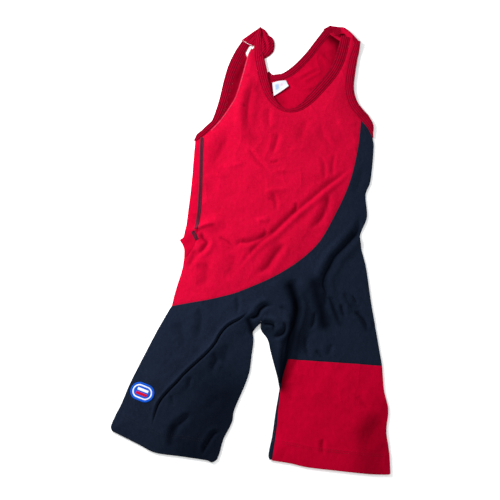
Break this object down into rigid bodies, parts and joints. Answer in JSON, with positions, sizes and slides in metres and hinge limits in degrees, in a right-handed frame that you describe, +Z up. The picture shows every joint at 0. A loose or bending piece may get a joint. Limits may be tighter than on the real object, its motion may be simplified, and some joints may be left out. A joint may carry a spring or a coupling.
{
  "type": "wrestling singlet",
  "caption": "Sleeveless one-piece sports suit with short legs, laid flat on its back: scooped neck, bound neck and armholes, two-colour body with a diagonal sweep seam.",
  "frame": {"origin": "middle of the garment's bounding box in plan, on the surface that it lies on", "axes": "+Y from the leg hems towards the shoulder straps, the garment's longest way; +X towards its left-hand side as worn, on the right when the front is seen from above; +Z up, out of the front"},
  "size_m": [0.4779, 0.8767, 0.0096],
  "materials": {
    "cloth_red": "matte knit",
    "cloth_navy": "matte knit",
    "binding_red": "ribbed knit",
    "label_white": "woven",
    "patch_blue": "embroidered"
  },
  "bodies": {
    "root": {"front_red": "cloth_red", "front_navy": "cloth_navy", "leg_block_front": "cloth_red", "back_red": "cloth_red", "back_navy": "cloth_navy", "neck_binding_front": "binding_red", "neck_binding_back": "binding_red", "armhole_binding_left_front": "binding_red", "armhole_binding_left_back": "binding_red", "armhole_binding_right_front": "binding_red", "armhole_binding_right_back": "binding_red", "strap_fold_left": "binding_red", "strap_loop_left": "binding_red", "strap_turn_right": "binding_red", "leg_patch": "patch_blue", "neck_label": "label_white"}
  },
  "joints": []
}
